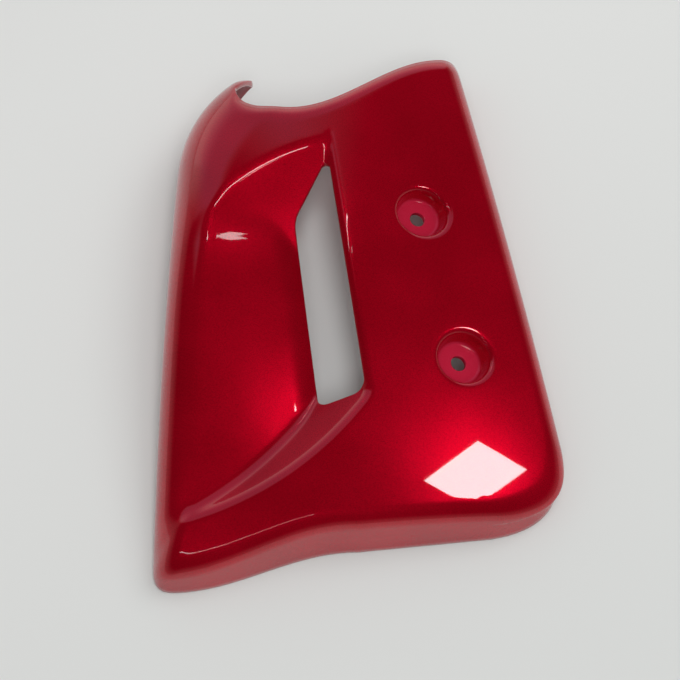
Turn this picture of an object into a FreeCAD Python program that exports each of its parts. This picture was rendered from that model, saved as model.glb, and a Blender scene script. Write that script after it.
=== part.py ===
import FreeCAD, Part
import math
import os

V = FreeCAD.Vector

# Radiator scoop, one moulded shell. Millimetres and degrees.
# X runs to the bolted side, Y to the far end, Z up. The rim lies on the plane Z = 0.

# Shell
WALL = 2.5

# Crown, the smooth top surface
CROWN_HEIGHT = 38.5
CROWN_RISE = 0.10
CROWN_PEAK_X = -15.0
CROWN_RADIUS_X = 560.0
CROWN_RADIUS_Y = 1200.0
CROWN_TWIST = 0.0009
CROWN_TWIST_Y = -70.0

# Rim outline at Z = 0
LEFT_X = -83.0
LEFT_BOW_Y = -30.0
LEFT_BOW_RADIUS = 2600.0
SHOULDER_X = -72.9
SHOULDER_Y = 129.1
SHOULDER_TURN = 60.0
SHOULDER_ROUND = 32.0
FRONT_LOW_Y = -109.8
FRONT_HIGH_Y = -91.6
FRONT_LOW_X = -74.0
FRONT_HIGH_X = 8.0
FRONT_SLOPE = 0.10
RIGHT_X = 90.6
RIGHT_SLOPE = -0.195
RIGHT_BOW_RADIUS = 6000.0
FRONT_LEFT_ROUND = 9.0
FRONT_RIGHT_ROUND = 34.0

# Rolled sides
DRAFT_LEFT = 8.0
DRAFT_FRONT = 12.0
DRAFT_RIGHT = 4.0
ROLL_EDGE = 8.0
ROLL_LEFT = 20.0
ROLL_SHOULDER = 34.0
ROLL_GROW_START_Y = 10.0
ROLL_GROW_END_Y = 115.0

# Far edge, with the horn at its left end
TOP_LOW_Y = 112.3
TOP_HIGH_Y = 152.0
TOP_LOW_X = -27.0
TOP_HIGH_X = 57.0
TOP_ROLL = 12.0
TOP_ROLL_WIDTH = 9.0
TOP_ROLL_FADE_LEFT = -52.0
TOP_ROLL_FADE_RIGHT = -36.0
NOTCH_X = -49.5
NOTCH_ROUND = 13.0
HORN_TIP_X = -42.5
HORN_TIP_Y = 140.5
HORN_SLANT = 0.75

# Recess: the creases' ends, the slopes of its facets and their roundings
CREASE_LEFT_X = -65.0
CREASE_LEFT_Y = 47.0
CREASE_RIGHT_X = -5.5
CREASE_RIGHT_Y = 95.0
CREASE_BOW = 7.5
LOWER_LEFT_X = -78.0
LOWER_LEFT_Y = -86.0
LOWER_BOW = 11.0
LOWER_RIGHT_X = 13.0
LOWER_RIGHT_Y = -29.0
VANE_SLOPE = 0.28
UPPER_SLOPE = 0.38
LOWER_SLOPE = 0.85
LIP_SLOPE = 1.7
VANE_ROLL = 25.0
VANE_ROLL_WIDTH = 12.0
UPPER_VALLEY = 1.2
LOWER_VALLEY = 4.0
LIP_VALLEY = 4.0
HINGE_SOFT = 2.0
UPPER_SOFT = 1.2
LOWER_SOFT = 2.6
LIP_SOFT = 5.0

# Air slot, its four corners and their radii
SLOT_TOP_X = -5.6
SLOT_TOP_Y = 87.5
SLOT_TOP_ROUND = 2.0
SLOT_LEFT_X = -20.8
SLOT_LEFT_Y = 57.0
SLOT_LEFT_ROUND = 14.0
SLOT_FOOT_X = -9.2
SLOT_FOOT_Y = -30.2
SLOT_FOOT_ROUND = 4.0
SLOT_HEEL_X = 11.4
SLOT_HEEL_Y = -26.4
SLOT_HEEL_ROUND = 6.0

# Screw cups
BOLT_MID_X = 47.2
BOLT_MID_Y = 25.5
BOLT_SPACING = 73.0
BOLT_HEADING = 14.8
BOLT_TILT_X = 16.0
BOLT_TILT_Y = 0.0
BOLT_HOLE_RADIUS = 3.5
CUP_DEPTH = 8.5
CUP_FLOOR_RADIUS = 10.2
CUP_MOUTH_RADIUS = 12.2
CUP_MOUTH_ROUND = 2.0

# Tucked lip round the front right corner
LIP_STEP_HEIGHT = 13.0
LIP_INSET = 3.0
LIP_WALL = 2.2
LIP_OVERLAP = 3.0
LIP_START = -66.0
LIP_END = 28.0
LIP_CENTRE_X = 20.0
LIP_CENTRE_Y = -5.0

# The row's origin, measured from the layout's own
ORIGIN_X = 8.0
ORIGIN_Y = 21.1


def soft_min(a, b, k):
    h = max(k - abs(a - b), 0.0) / k
    return min(a, b) - h * h * k / 4


def soft_max(a, b, k):
    return -soft_min(-a, -b, k)


def ease(start, end, t):
    s = min(max((t - start) / (end - start), 0.0), 1.0)
    return s * s * (3 - 2 * s)


def wave(start, end, t):
    s = min(max((t - start) / (end - start), 0.0), 1.0)
    return (1 - math.cos(math.pi * s)) / 2


def right_of(ax, ay, bx, by, x, y):
    # distance to the right of the line from a to b
    dx = bx - ax
    dy = by - ay
    return ((x - ax) * dy - (y - ay) * dx) / math.hypot(dx, dy)


def crown(x, y):
    off = x - CROWN_PEAK_X
    bend = off * off / (2 * CROWN_RADIUS_X) + y * y / (2 * CROWN_RADIUS_Y)
    return CROWN_HEIGHT + CROWN_RISE * y - bend - CROWN_TWIST * off * (y - CROWN_TWIST_Y)


# Distances inward from the rim outline
def left_inside(x, y):
    edge = LEFT_X + (y - LEFT_BOW_Y) ** 2 / (2 * LEFT_BOW_RADIUS)
    turn = math.radians(SHOULDER_TURN)
    shoulder = (x - SHOULDER_X) * math.cos(turn) - (y - SHOULDER_Y) * math.sin(turn)
    return soft_min(x - edge, shoulder, SHOULDER_ROUND)


def front_y(x):
    rise = (FRONT_HIGH_Y - FRONT_LOW_Y) * wave(FRONT_LOW_X, FRONT_HIGH_X, x)
    return FRONT_LOW_Y + rise + FRONT_SLOPE * max(x - FRONT_HIGH_X, 0.0)


def right_x(y):
    return RIGHT_X + RIGHT_SLOPE * y - y * y / (2 * RIGHT_BOW_RADIUS)


def front_inside(x, y):
    return 0.98 * (y - front_y(x))


def right_inside(x, y):
    return 0.985 * (right_x(y) - x)


def front_right_inside(x, y):
    return soft_min(front_inside(x, y), right_inside(x, y), FRONT_RIGHT_ROUND)


def rim_inside(x, y):
    return soft_min(left_inside(x, y), front_right_inside(x, y), FRONT_LEFT_ROUND)


def left_share(x, y):
    return ease(-8.0, 14.0, front_right_inside(x, y) - left_inside(x, y))


def roll_radius(x, y):
    left = ROLL_LEFT + (ROLL_SHOULDER - ROLL_LEFT) * ease(ROLL_GROW_START_Y, ROLL_GROW_END_Y, y)
    return ROLL_EDGE + (left - ROLL_EDGE) * left_share(x, y)


def draft(x, y):
    right_share = ease(-20.0, 20.0, front_inside(x, y) - right_inside(x, y))
    edge = DRAFT_FRONT + (DRAFT_RIGHT - DRAFT_FRONT) * right_share
    return math.radians(edge + (DRAFT_LEFT - edge) * left_share(x, y))


# Far edge
def top_y(x):
    return TOP_LOW_Y + (TOP_HIGH_Y - TOP_LOW_Y) * wave(TOP_LOW_X, TOP_HIGH_X, x)


def top_drop(x, y, inset):
    r = TOP_ROLL - inset
    s = TOP_ROLL_WIDTH - inset - 0.95 * (top_y(x) - y)
    if s <= 0:
        return 0.0
    limit = 0.9 * r
    if s < limit:
        drop = r - math.sqrt(r * r - s * s)
    else:
        end = math.sqrt(r * r - limit * limit)
        drop = r - end + min(s - limit, 4.0) * limit / end
    return drop * ease(TOP_ROLL_FADE_LEFT, TOP_ROLL_FADE_RIGHT, x)


# Recess, as a depth below the crown
def right_of_bow(ax, ay, bx, by, bow, x, y):
    # distance to the right of a line that bows to the left and runs on straight past its ends
    dx = bx - ax
    dy = by - ay
    share = ((x - ax) * dx + (y - ay) * dy) / (dx * dx + dy * dy)
    held = min(max(share, 0.0), 1.0)
    bulge = 4 * bow * (held * (1 - held) + (1 - 2 * held) * (share - held))
    return right_of(ax, ay, bx, by, x, y) + bulge


def crease_circle():
    # circle close to the upper crease, which the grid's lines follow
    dx = CREASE_RIGHT_X - CREASE_LEFT_X
    dy = CREASE_RIGHT_Y - CREASE_LEFT_Y
    chord = math.hypot(dx, dy)
    radius = (chord * chord / 4 + CREASE_BOW * CREASE_BOW) / (2 * CREASE_BOW)
    back = radius - CREASE_BOW
    cx = (CREASE_LEFT_X + CREASE_RIGHT_X) / 2 + back * dy / chord
    cy = (CREASE_LEFT_Y + CREASE_RIGHT_Y) / 2 - back * dx / chord
    return cx, cy, radius


CREASE_CX, CREASE_CY, CREASE_R = crease_circle()


def recess_depth(x, y):
    past = right_of(SLOT_FOOT_X, SLOT_FOOT_Y, SLOT_LEFT_X, SLOT_LEFT_Y, x, y)
    roll = max(0.0, VANE_ROLL_WIDTH + past)
    hinge = right_of(LOWER_LEFT_X, LOWER_LEFT_Y, CREASE_LEFT_X, CREASE_LEFT_Y, x, y)
    vane = VANE_SLOPE * hinge + roll * roll / (2 * VANE_ROLL)
    upper = UPPER_SLOPE * right_of_bow(
        CREASE_LEFT_X, CREASE_LEFT_Y, CREASE_RIGHT_X, CREASE_RIGHT_Y, CREASE_BOW, x, y
    )
    lower = LOWER_SLOPE * right_of_bow(
        LOWER_RIGHT_X, LOWER_RIGHT_Y, LOWER_LEFT_X, LOWER_LEFT_Y, LOWER_BOW, x, y
    )
    lip = LIP_SLOPE * right_of(CREASE_RIGHT_X, CREASE_RIGHT_Y, LOWER_RIGHT_X, LOWER_RIGHT_Y, x, y)
    least = min(vane, upper, lower, lip)
    soft = 0.0
    total = 0.0
    for facet, width in ((vane, HINGE_SOFT), (upper, UPPER_SOFT), (lower, LOWER_SOFT), (lip, LIP_SOFT)):
        share = math.exp(least - facet)
        soft += share * width
        total += share
    depth = soft_min(vane, upper, UPPER_VALLEY)
    depth = soft_min(depth, lower, LOWER_VALLEY)
    depth = soft_min(depth, lip, LIP_VALLEY)
    return soft_max(depth, 0.0, soft / total)


def panel(x, y):
    return crown(x, y) - recess_depth(x, y)


def skin(x, y, inset):
    level = panel(x, y)
    if inset > 0:
        gx = panel(x + 0.5, y) - panel(x - 0.5, y)
        gy = panel(x, y + 0.5) - panel(x, y - 0.5)
        level -= inset * math.sqrt(1 + gx * gx + gy * gy)
    level -= top_drop(x, y, inset)
    inside = rim_inside(x, y) - inset
    r = roll_radius(x, y) - inset
    lean = draft(x, y)
    start = (r + (level - r) * math.sin(lean)) / math.cos(lean)
    if inside >= start:
        return level
    if inside >= start - r * math.cos(lean):
        return level - r + math.sqrt(max(r * r - (start - inside) ** 2, 0.0))
    return inside / math.tan(lean)


# Grid of the skins: lines gather at the rolled sides and at the creases
MARGIN = 1.2
SIDE_STEPS = (0, 1, 2, 3, 4, 5, 6.2, 7.6, 9.2, 11, 13, 15.5, 18.5, 22, 26, 30.5, 35.5)
EDGE_STEPS = (0, 0.8, 1.6, 2.4, 3.3, 4.3, 5.5, 6.9, 8.5, 10.3, 12.4, 15)
CREASE_STEPS = (-6, -4, -2.4, -1.2, 0, 1.2, 2.4, 4)
LIP_STEPS = (-4.5, -3, -1.5, 0, 1.5, 3, 5)
FAR_STEPS = (-12, -9.5, -7.5, -5.5, -3.5, -1.5, 0.5, 3, 8)


def left_line(y):
    low = LEFT_X - 20
    high = 0.0
    for step in range(40):
        mid = (low + high) / 2
        if left_inside(mid, y) < -MARGIN:
            low = mid
        else:
            high = mid
    return low


def lip_line(y):
    share = (y - LOWER_RIGHT_Y) / (CREASE_RIGHT_Y - LOWER_RIGHT_Y)
    share = soft_max(soft_min(share, 1.0, 0.2), 0.0, 0.2)
    return LOWER_RIGHT_X + (CREASE_RIGHT_X - LOWER_RIGHT_X) * share


def lower_line(x):
    along = soft_max(soft_min(x, LOWER_RIGHT_X, 16.0), LOWER_LEFT_X, 16.0)
    slope = (LOWER_RIGHT_Y - LOWER_LEFT_Y) / (LOWER_RIGHT_X - LOWER_LEFT_X)
    share = (along - LOWER_LEFT_X) / (LOWER_RIGHT_X - LOWER_LEFT_X)
    bulge = 4 * LOWER_BOW * share * (1 - share) * math.hypot(1, slope)
    return LOWER_LEFT_Y + slope * (along - LOWER_LEFT_X) - bulge


def upper_line(x):
    along = soft_max(soft_min(x, CREASE_RIGHT_X, 16.0), CREASE_LEFT_X, 8.0) - CREASE_CX
    return CREASE_CY + math.sqrt(max(CREASE_R * CREASE_R - along * along, 0.0))


def far_line(x):
    return top_y(x) + 32.0 * ease(-36.0, -60.0, x)


def between(low, high, count):
    return [low + (high - low) * (i + 1) / (count + 1) for i in range(count)]


def column_x(y):
    left = left_line(y)
    lip = lip_line(y)
    right = right_x(y) + MARGIN
    xs = [left + s for s in SIDE_STEPS]
    xs += between(xs[-1], lip + LIP_STEPS[0], 9)
    xs += [lip + s for s in LIP_STEPS]
    xs += between(xs[-1], right - EDGE_STEPS[-1], 9)
    xs += [right - s for s in reversed(EDGE_STEPS)]
    return xs


def row_y(x):
    front = front_y(x) - MARGIN
    lower = lower_line(x)
    upper = upper_line(x)
    ys = [front + s for s in EDGE_STEPS]
    ys += between(ys[-1], lower + CREASE_STEPS[0], 6)
    ys += [lower + s for s in CREASE_STEPS]
    ys += between(ys[-1], upper + CREASE_STEPS[0], 20)
    ys += [upper + s for s in CREASE_STEPS]
    far = far_line(x)
    ys += between(ys[-1], far + FAR_STEPS[0], 5)
    ys += [far + s for s in FAR_STEPS]
    return ys


def grid_points():
    columns = len(column_x(0.0))
    rows = len(row_y(0.0))
    points = []
    for i in range(columns):
        line = []
        for j in range(rows):
            x = column_x(0.0)[i]
            y = row_y(x)[j]
            for step in range(30):
                x += 0.35 * (column_x(y)[i] - x)
                y += 0.35 * (row_y(x)[j] - y)
            line.append((x, y))
        points.append(line)
    return points


def knots(count):
    inner = count - 3
    values = [float(i) for i in range(inner + 1)]
    return values, [4] + [1] * (inner - 1) + [4]


def skin_volume(points, inset):
    poles = [[V(x, y, skin(x, y, inset)) for x, y in line] for line in points]
    u_knots, u_mults = knots(len(poles))
    v_knots, v_mults = knots(len(poles[0]))
    surface = Part.BSplineSurface()
    surface.buildFromPolesMultsKnots(poles, u_mults, v_mults, u_knots, v_knots, False, False, 3, 3)
    return surface.toShape().extrude(V(0, 0, -200))


def rounded_outline(corners):
    # closed face from (x, y, radius) corners
    edges = []
    ends = []
    count = len(corners)
    for i in range(count):
        px, py, r = corners[i]
        here = V(px, py, 0)
        back = V(corners[i - 1][0], corners[i - 1][1], 0) - here
        ahead = V(corners[(i + 1) % count][0], corners[(i + 1) % count][1], 0) - here
        half = back.getAngle(ahead) / 2
        reach = r / math.tan(half)
        back.normalize()
        ahead.normalize()
        middle = back + ahead
        middle.normalize()
        mid = here + middle * (r / math.sin(half) - r)
        ends.append((here + back * reach, mid, here + ahead * reach))
    for i in range(count):
        first, mid, last = ends[i]
        edges.append(Part.Arc(first, mid, last).toShape())
        edges.append(Part.LineSegment(last, ends[(i + 1) % count][0]).toShape())
    return Part.Face(Part.Wire(edges))


def far_edge_cutter():
    # everything beyond the far edge, with the notch and the horn left standing
    notch_cx = NOTCH_X + NOTCH_ROUND
    notch_cy = TOP_LOW_Y + NOTCH_ROUND
    steps = 30
    curve = []
    for i in range(steps + 1):
        x = notch_cx + (TOP_HIGH_X - notch_cx) * i / steps
        curve.append(V(x, top_y(x), 0))
    spline = Part.BSplineCurve()
    spline.interpolate(curve)
    start = curve[0]
    end = curve[-1]
    slant = NOTCH_ROUND * math.sqrt(0.5)
    turn = V(notch_cx - slant, notch_cy - slant, 0)
    low = V(NOTCH_X, notch_cy, 0)
    tip = V(HORN_TIP_X, HORN_TIP_Y, 0)
    rise = tip - low
    rise.normalize()
    out = V(-rise.y, rise.x, 0)
    far = tip + out * 60
    edges = [
        spline.toShape(),
        Part.LineSegment(end, V(140, end.y, 0)).toShape(),
        Part.LineSegment(V(140, end.y, 0), V(140, 260, 0)).toShape(),
        Part.LineSegment(V(140, 260, 0), V(far.x, 260, 0)).toShape(),
        Part.LineSegment(V(far.x, 260, 0), far).toShape(),
        Part.LineSegment(far, tip).toShape(),
        Part.LineSegment(tip, low).toShape(),
        Part.Arc(low, turn, start).toShape(),
    ]
    face = Part.Face(Part.Wire(edges))
    return face.extrude(V(0, 0, 300)).translated(V(0, 0, -120))


def horn_cutter():
    # the slanted end of the wall under the horn's tip, beyond the middle of the notch
    reach = 60.0
    low = V(NOTCH_X, TOP_LOW_Y + NOTCH_ROUND, 0)
    rise = V(HORN_TIP_X, HORN_TIP_Y, 0) - low
    rise.normalize()
    turn = math.radians(SHOULDER_TURN)
    down = V(-HORN_SLANT * math.sin(turn), -HORN_SLANT * math.cos(turn), -1)
    down.normalize()
    beyond = down.cross(rise)
    beyond.normalize()
    tip = V(HORN_TIP_X, HORN_TIP_Y, skin(HORN_TIP_X, HORN_TIP_Y, 0.0))
    corners = []
    for along, drop in ((-1, -1), (1, -1), (1, 1), (-1, 1)):
        corners.append(tip + rise * (along * reach) + down * (drop * reach))
    face = Part.Face(Part.makePolygon(corners + corners[:1]))
    corner = V(HORN_TIP_X - 0.75 * reach, TOP_LOW_Y + NOTCH_ROUND / 2, -reach / 2)
    horn_box = Part.makeBox(reach, reach, 2 * reach, corner)
    return face.extrude(beyond * reach).common(horn_box)


def bolt_frame():
    axis = V(math.tan(math.radians(BOLT_TILT_X)), -math.tan(math.radians(BOLT_TILT_Y)), 1)
    axis.normalize()
    heading = math.radians(BOLT_HEADING)
    along = V(-math.sin(heading), math.cos(heading), 0)
    along = along - axis * along.dot(axis)
    along.normalize()
    top = V(BOLT_MID_X, BOLT_MID_Y, crown(BOLT_MID_X, BOLT_MID_Y))
    return top - axis * CUP_DEPTH, axis, along


def lip_curve(height, deeper):
    # curve at one height that follows the outer face round the corner, tucked in by the lip's inset
    line = []
    for i in range(25):
        share = i / 24
        angle = math.radians(LIP_START + (LIP_END - LIP_START) * share)
        fade = ease(0.0, 0.26, share) * ease(0.0, 0.45, 1 - share)
        target = deeper + (LIP_INSET + 0.6) * fade - 0.6
        near = 20.0
        away = 160.0
        for step in range(50):
            mid = (near + away) / 2
            x = LIP_CENTRE_X + mid * math.cos(angle)
            y = LIP_CENTRE_Y + mid * math.sin(angle)
            if rim_inside(x, y) - height * math.tan(draft(x, y)) > target:
                near = mid
            else:
                away = mid
        line.append(V(x, y, height))
    spline = Part.BSplineCurve()
    spline.interpolate(line)
    return spline.toShape(), line[0], line[-1]


def lip_band(top, deeper):
    # everything from that curve outward, up to a height
    wires = []
    for height in (-2.0, top):
        one, one_start, one_end = lip_curve(height, deeper)
        two, two_start, two_end = lip_curve(height, -6.0)
        first = Part.LineSegment(one_end, two_end).toShape()
        last = Part.LineSegment(two_start, one_start).toShape()
        wires.append(Part.Wire([one, first, two, last]))
    return Part.makeLoft(wires, True, True)


def on_cup_wall(edge):
    for point in edge.discretize(12):
        arm = point - floor_mid
        arm = arm - bolt_along * (math.copysign(0.5, arm.dot(bolt_along)) * BOLT_SPACING)
        height = arm.dot(bolt_axis)
        radius = (arm - bolt_axis * height).Length
        if height < 1.0 or abs(radius - CUP_FLOOR_RADIUS - flare * height) > 0.05:
            return False
    return True


# Outer face, with the rebate below the tucked lip's step
points = grid_points()
above_floor = Part.makeBox(400, 400, 300, V(-200, -200, 0))
outer = skin_volume(points, 0.0).common(above_floor)
outer = outer.cut([far_edge_cutter(), horn_cutter(), lip_band(LIP_STEP_HEIGHT, 0.0)])

# Hollow underside, which leaves the cups and the tucked lip standing
floor_mid, bolt_axis, bolt_along = bolt_frame()
flare = (CUP_MOUTH_RADIUS - CUP_FLOOR_RADIUS) / CUP_DEPTH
reach = CUP_DEPTH + 8.0
kept = [lip_band(LIP_STEP_HEIGHT + LIP_OVERLAP, LIP_WALL)]
openings = []
for side in (-0.5, 0.5):
    floor = floor_mid + bolt_along * (BOLT_SPACING * side)
    under = floor - bolt_axis * WALL
    low_radius = CUP_FLOOR_RADIUS + WALL - flare * WALL
    high_radius = CUP_FLOOR_RADIUS + WALL + flare * reach
    kept.append(Part.makeCone(low_radius, high_radius, reach + WALL, under, bolt_axis))
    openings.append(Part.makeCone(CUP_FLOOR_RADIUS, CUP_FLOOR_RADIUS + flare * reach, reach, floor, bolt_axis))
    openings.append(Part.makeCylinder(BOLT_HOLE_RADIUS, 4 * WALL, floor - bolt_axis * 2 * WALL, bolt_axis))
solid = outer.cut(skin_volume(points, WALL).cut(kept))

# Air slot, cup mouths and screw holes
slot = rounded_outline(
    [
        (SLOT_TOP_X, SLOT_TOP_Y, SLOT_TOP_ROUND),
        (SLOT_LEFT_X, SLOT_LEFT_Y, SLOT_LEFT_ROUND),
        (SLOT_FOOT_X, SLOT_FOOT_Y, SLOT_FOOT_ROUND),
        (SLOT_HEEL_X, SLOT_HEEL_Y, SLOT_HEEL_ROUND),
    ]
)
openings.append(slot.extrude(V(0, 0, 120)))
solid = solid.cut(openings)
mouths = [edge for edge in solid.Edges if on_cup_wall(edge)]
solid = solid.makeFillet(CUP_MOUTH_ROUND, mouths)

shell = solid.Solids[0].translated(V(-ORIGIN_X, -ORIGIN_Y, 0))

os.makedirs("parts", exist_ok=True)
shell.exportStep("parts/scoop_shell.step")
box = shell.BoundBox
print("solids", len(shell.Solids), "valid", shell.isValid(), "volume cm3", shell.Volume / 1000)
print("box", box.XMin, box.XMax, box.YMin, box.YMax, box.ZMin, box.ZMax)
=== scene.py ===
import logging
import math
from dataclasses import dataclass, field
from enum import IntEnum
from typing import Sequence

import bpy
import numpy as np
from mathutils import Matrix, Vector, geometry, kdtree


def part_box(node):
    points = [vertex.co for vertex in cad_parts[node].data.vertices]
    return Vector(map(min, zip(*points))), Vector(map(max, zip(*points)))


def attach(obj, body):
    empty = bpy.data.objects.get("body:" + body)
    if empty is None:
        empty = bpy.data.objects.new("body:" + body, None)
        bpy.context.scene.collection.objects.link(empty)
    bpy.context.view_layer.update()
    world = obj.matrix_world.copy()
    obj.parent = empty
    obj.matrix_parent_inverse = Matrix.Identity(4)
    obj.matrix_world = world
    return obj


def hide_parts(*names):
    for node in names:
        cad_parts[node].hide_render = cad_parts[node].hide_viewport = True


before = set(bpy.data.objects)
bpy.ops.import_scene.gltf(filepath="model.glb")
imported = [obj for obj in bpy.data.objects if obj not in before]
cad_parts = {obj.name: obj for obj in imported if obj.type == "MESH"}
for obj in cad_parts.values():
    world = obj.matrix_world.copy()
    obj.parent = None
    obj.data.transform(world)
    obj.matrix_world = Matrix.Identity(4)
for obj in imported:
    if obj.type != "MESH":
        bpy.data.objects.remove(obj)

LOG = logging.getLogger("scoop")
METRE = 0.001
BARE = "bare"
# Point attribute for the cups' floors: dull dry spray, and a paler pink that is painted reflection.
DRY_SPRAY_AND_REFLECTION = "dry_spray_and_reflection"
Array = np.ndarray
Socket = bpy.types.NodeSocket
Tree = bpy.types.NodeTree
Pair = tuple[float, float]
Triple = tuple[float, float, float]
Colour = tuple[float, float, float, float]


class Side(IntEnum):
    """The two faces of the moulded wall, numbered as their material slots."""

    PAINTED = 0
    UNDERSIDE = 1


def soft_min(a: Array, b: Array, k: float) -> Array:
    """Lesser of two values, rounded where they lie within k of each other."""
    near = np.maximum(k - np.abs(a - b), 0.0) / k
    return np.minimum(a, b) - near * near * k / 4


def soft_max(a: Array, b: Array, k: Array | float) -> Array:
    """Greater of two values, rounded where they lie within k of each other."""
    return -soft_min(-a, -b, k)


def ease(start: float, end: float, t: Array) -> Array:
    """Smooth step from 0 at start to 1 at end."""
    s = np.clip((t - start) / (end - start), 0.0, 1.0)
    return s * s * (3 - 2 * s)


def wave(start: float, end: float, t: Array) -> Array:
    """Half cosine wave from 0 at start to 1 at end."""
    s = np.clip((t - start) / (end - start), 0.0, 1.0)
    return (1 - np.cos(np.pi * s)) / 2


def right_of(a: Pair, b: Pair, x: Array, y: Array) -> Array:
    """Distance to the right of the line from a to b."""
    dx, dy = b[0] - a[0], b[1] - a[1]
    return ((x - a[0]) * dy - (y - a[1]) * dx) / math.hypot(dx, dy)


def right_of_bow(a: Pair, b: Pair, bow: float, x: Array, y: Array) -> Array:
    """Distance to the right of a line that bows to the left and runs on straight past its ends.

    Args:
        a: the line's start.
        b: the line's end.
        bow: how far its middle bows out.
        x: plan positions across the panel.
        y: plan positions along the panel.

    Returns:
        Distances, below zero to the left of the line.
    """
    dx, dy = b[0] - a[0], b[1] - a[1]
    share = ((x - a[0]) * dx + (y - a[1]) * dy) / (dx * dx + dy * dy)
    held = np.clip(share, 0.0, 1.0)
    return right_of(a, b, x, y) + 4 * bow * (held * (1 - held) + (1 - 2 * held) * (share - held))


@dataclass(frozen=True)
class PanelForm:
    """Sizes of the moulded panel in millimetres and degrees, and the rules of its skin.

    X runs to the bolted side, Y to the far end and Z up; the rim lies on Z = 0.
    """

    wall: float = 2.5
    origin: Pair = (8.0, 21.1)
    crown_height: float = 38.5
    crown_rise: float = 0.10
    crown_peak_x: float = -15.0
    crown_radius: Pair = (560.0, 1200.0)
    crown_twist: float = 0.0009
    crown_twist_y: float = -70.0
    left_x: float = -83.0
    left_bow_y: float = -30.0
    left_bow_radius: float = 2600.0
    shoulder: Pair = (-72.9, 129.1)
    shoulder_turn: float = 60.0
    shoulder_round: float = 32.0
    front_y_span: Pair = (-109.8, -91.6)
    front_x_span: Pair = (-74.0, 8.0)
    front_slope: float = 0.10
    front_scale: float = 0.98
    right_at: float = 90.6
    right_slope: float = -0.195
    right_bow_radius: float = 6000.0
    right_scale: float = 0.985
    front_left_round: float = 9.0
    front_right_round: float = 34.0
    left_share_span: Pair = (-8.0, 14.0)
    right_share_span: Pair = (-20.0, 20.0)
    draft_left: float = 8.0
    draft_front: float = 12.0
    draft_right: float = 4.0
    roll_edge: float = 8.0
    roll_left: float = 20.0
    roll_shoulder: float = 34.0
    roll_grow_y: Pair = (10.0, 115.0)
    top_y_span: Pair = (112.3, 152.0)
    top_x_span: Pair = (-27.0, 57.0)
    top_roll: float = 12.0
    top_roll_width: float = 9.0
    top_roll_scale: float = 0.95
    top_roll_limit: float = 0.9
    top_roll_beyond: float = 4.0
    top_roll_fade: Pair = (-52.0, -36.0)
    notch_x: float = -49.5
    notch_round: float = 13.0
    horn_tip: Pair = (-42.5, 140.5)
    horn_slant: float = 0.75
    crease_left: Pair = (-65.0, 47.0)
    crease_right: Pair = (-5.5, 95.0)
    crease_bow: float = 7.5
    lower_left: Pair = (-78.0, -86.0)
    lower_bow: float = 11.0
    lower_right: Pair = (13.0, -29.0)
    vane_slope: float = 0.28
    upper_slope: float = 0.38
    lower_slope: float = 0.85
    lip_slope: float = 1.7
    vane_roll: float = 25.0
    vane_roll_width: float = 12.0
    upper_valley: float = 1.2
    lower_valley: float = 4.0
    lip_valley: float = 4.0
    facet_soft: tuple[float, float, float, float] = (2.0, 1.2, 2.6, 5.0)
    slot_corners: tuple[Triple, ...] = (
        (-5.6, 87.5, 2.0),
        (-20.8, 57.0, 14.0),
        (-9.2, -30.2, 4.0),
        (11.4, -26.4, 6.0),
    )
    tuck_height: float = 13.0
    tuck_inset: float = 3.0
    tuck_wall: float = 2.2
    tuck_overlap: float = 3.0
    tuck_angles: Pair = (-66.0, 28.0)
    tuck_centre: Pair = (20.0, -5.0)
    tuck_ends: Pair = (0.26, 0.45)
    tuck_threshold: float = 0.6
    slope_step: float = 0.5

    def inset(self, side: Side) -> float:
        """How far a face of the wall lies below the painted one."""
        return 0.0 if side is Side.PAINTED else self.wall

    def crown(self, x: Array, y: Array) -> Array:
        """Height of the smooth top surface before the recess and the rolled edges.

        Args:
            x: plan positions across the panel.
            y: plan positions along the panel.

        Returns:
            Heights above the rim's plane.
        """
        off = x - self.crown_peak_x
        bend = off * off / (2 * self.crown_radius[0]) + y * y / (2 * self.crown_radius[1])
        twist = self.crown_twist * off * (y - self.crown_twist_y)
        return self.crown_height + self.crown_rise * y - bend - twist

    def left_inside(self, x: Array, y: Array) -> Array:
        """Distance inward from the left side and its shoulder.

        Args:
            x: plan positions across the panel.
            y: plan positions along the panel.

        Returns:
            Distances, below zero outside.
        """
        edge = self.left_x + (y - self.left_bow_y) ** 2 / (2 * self.left_bow_radius)
        turn = math.radians(self.shoulder_turn)
        shoulder = (x - self.shoulder[0]) * math.cos(turn) - (y - self.shoulder[1]) * math.sin(turn)
        return soft_min(x - edge, shoulder, self.shoulder_round)

    def front_inside(self, x: Array, y: Array) -> Array:
        """Distance inward from the front side.

        Args:
            x: plan positions across the panel.
            y: plan positions along the panel.

        Returns:
            Distances, below zero outside.
        """
        low, high = self.front_y_span
        start, end = self.front_x_span
        edge = low + (high - low) * wave(start, end, x) + self.front_slope * np.maximum(x - end, 0.0)
        return self.front_scale * (y - edge)

    def right_inside(self, x: Array, y: Array) -> Array:
        """Distance inward from the right side."""
        edge = self.right_at + self.right_slope * y - y * y / (2 * self.right_bow_radius)
        return self.right_scale * (edge - x)

    def front_right_inside(self, x: Array, y: Array) -> Array:
        """Distance inward from the front and right sides with their rounded corner."""
        return soft_min(self.front_inside(x, y), self.right_inside(x, y), self.front_right_round)

    def rim_inside(self, x: Array, y: Array) -> Array:
        """Distance inward from the rim outline."""
        return soft_min(self.left_inside(x, y), self.front_right_inside(x, y), self.front_left_round)

    def left_share(self, x: Array, y: Array) -> Array:
        """1 near the left side, 0 near the front and right sides."""
        return ease(*self.left_share_span, self.front_right_inside(x, y) - self.left_inside(x, y))

    def roll_radius(self, x: Array, y: Array) -> Array:
        """Radius of the rolled side nearest to a point."""
        left = self.roll_left + (self.roll_shoulder - self.roll_left) * ease(*self.roll_grow_y, y)
        return self.roll_edge + (left - self.roll_edge) * self.left_share(x, y)

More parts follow.
